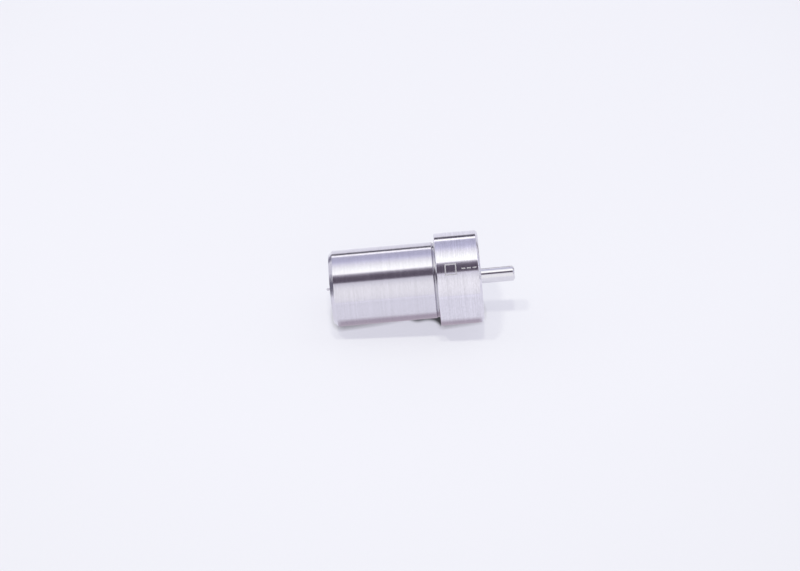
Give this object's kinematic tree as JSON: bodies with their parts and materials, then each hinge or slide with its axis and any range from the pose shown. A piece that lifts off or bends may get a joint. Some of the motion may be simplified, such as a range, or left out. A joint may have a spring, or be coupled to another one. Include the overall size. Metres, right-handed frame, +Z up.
{
  "type": "pintle injector nozzle",
  "caption": "Pintle fuel injector nozzle: a steel body with a plain shank and a wider collar, and a lapped needle valve whose thin pressure pin stands out of the rear face.",
  "frame": {"origin": "centre of the lapped rear sealing face, on the nozzle's axis", "axes": "+X along the nozzle's axis from the spray tip towards the pressure pin, +Z up as the nozzle lies on its side, +Y away from the viewer"},
  "size_m": [0.0346, 0.017, 0.017],
  "materials": {
    "body_steel": "hardened steel, ground, with fine turning lines around the axis and a lapped rear face",
    "needle_steel": "hardened high-speed steel, lapped and polished"
  },
  "bodies": {
    "nozzle_body": {"nozzle_body": "body_steel"},
    "needle": {"needle": "needle_steel"}
  },
  "joints": [
    {"name": "needle_slide", "type": "slide", "parent": "nozzle_body", "child": "needle", "axis": [1, 0, 0], "range_m": [0, 0.03]}
  ]
}
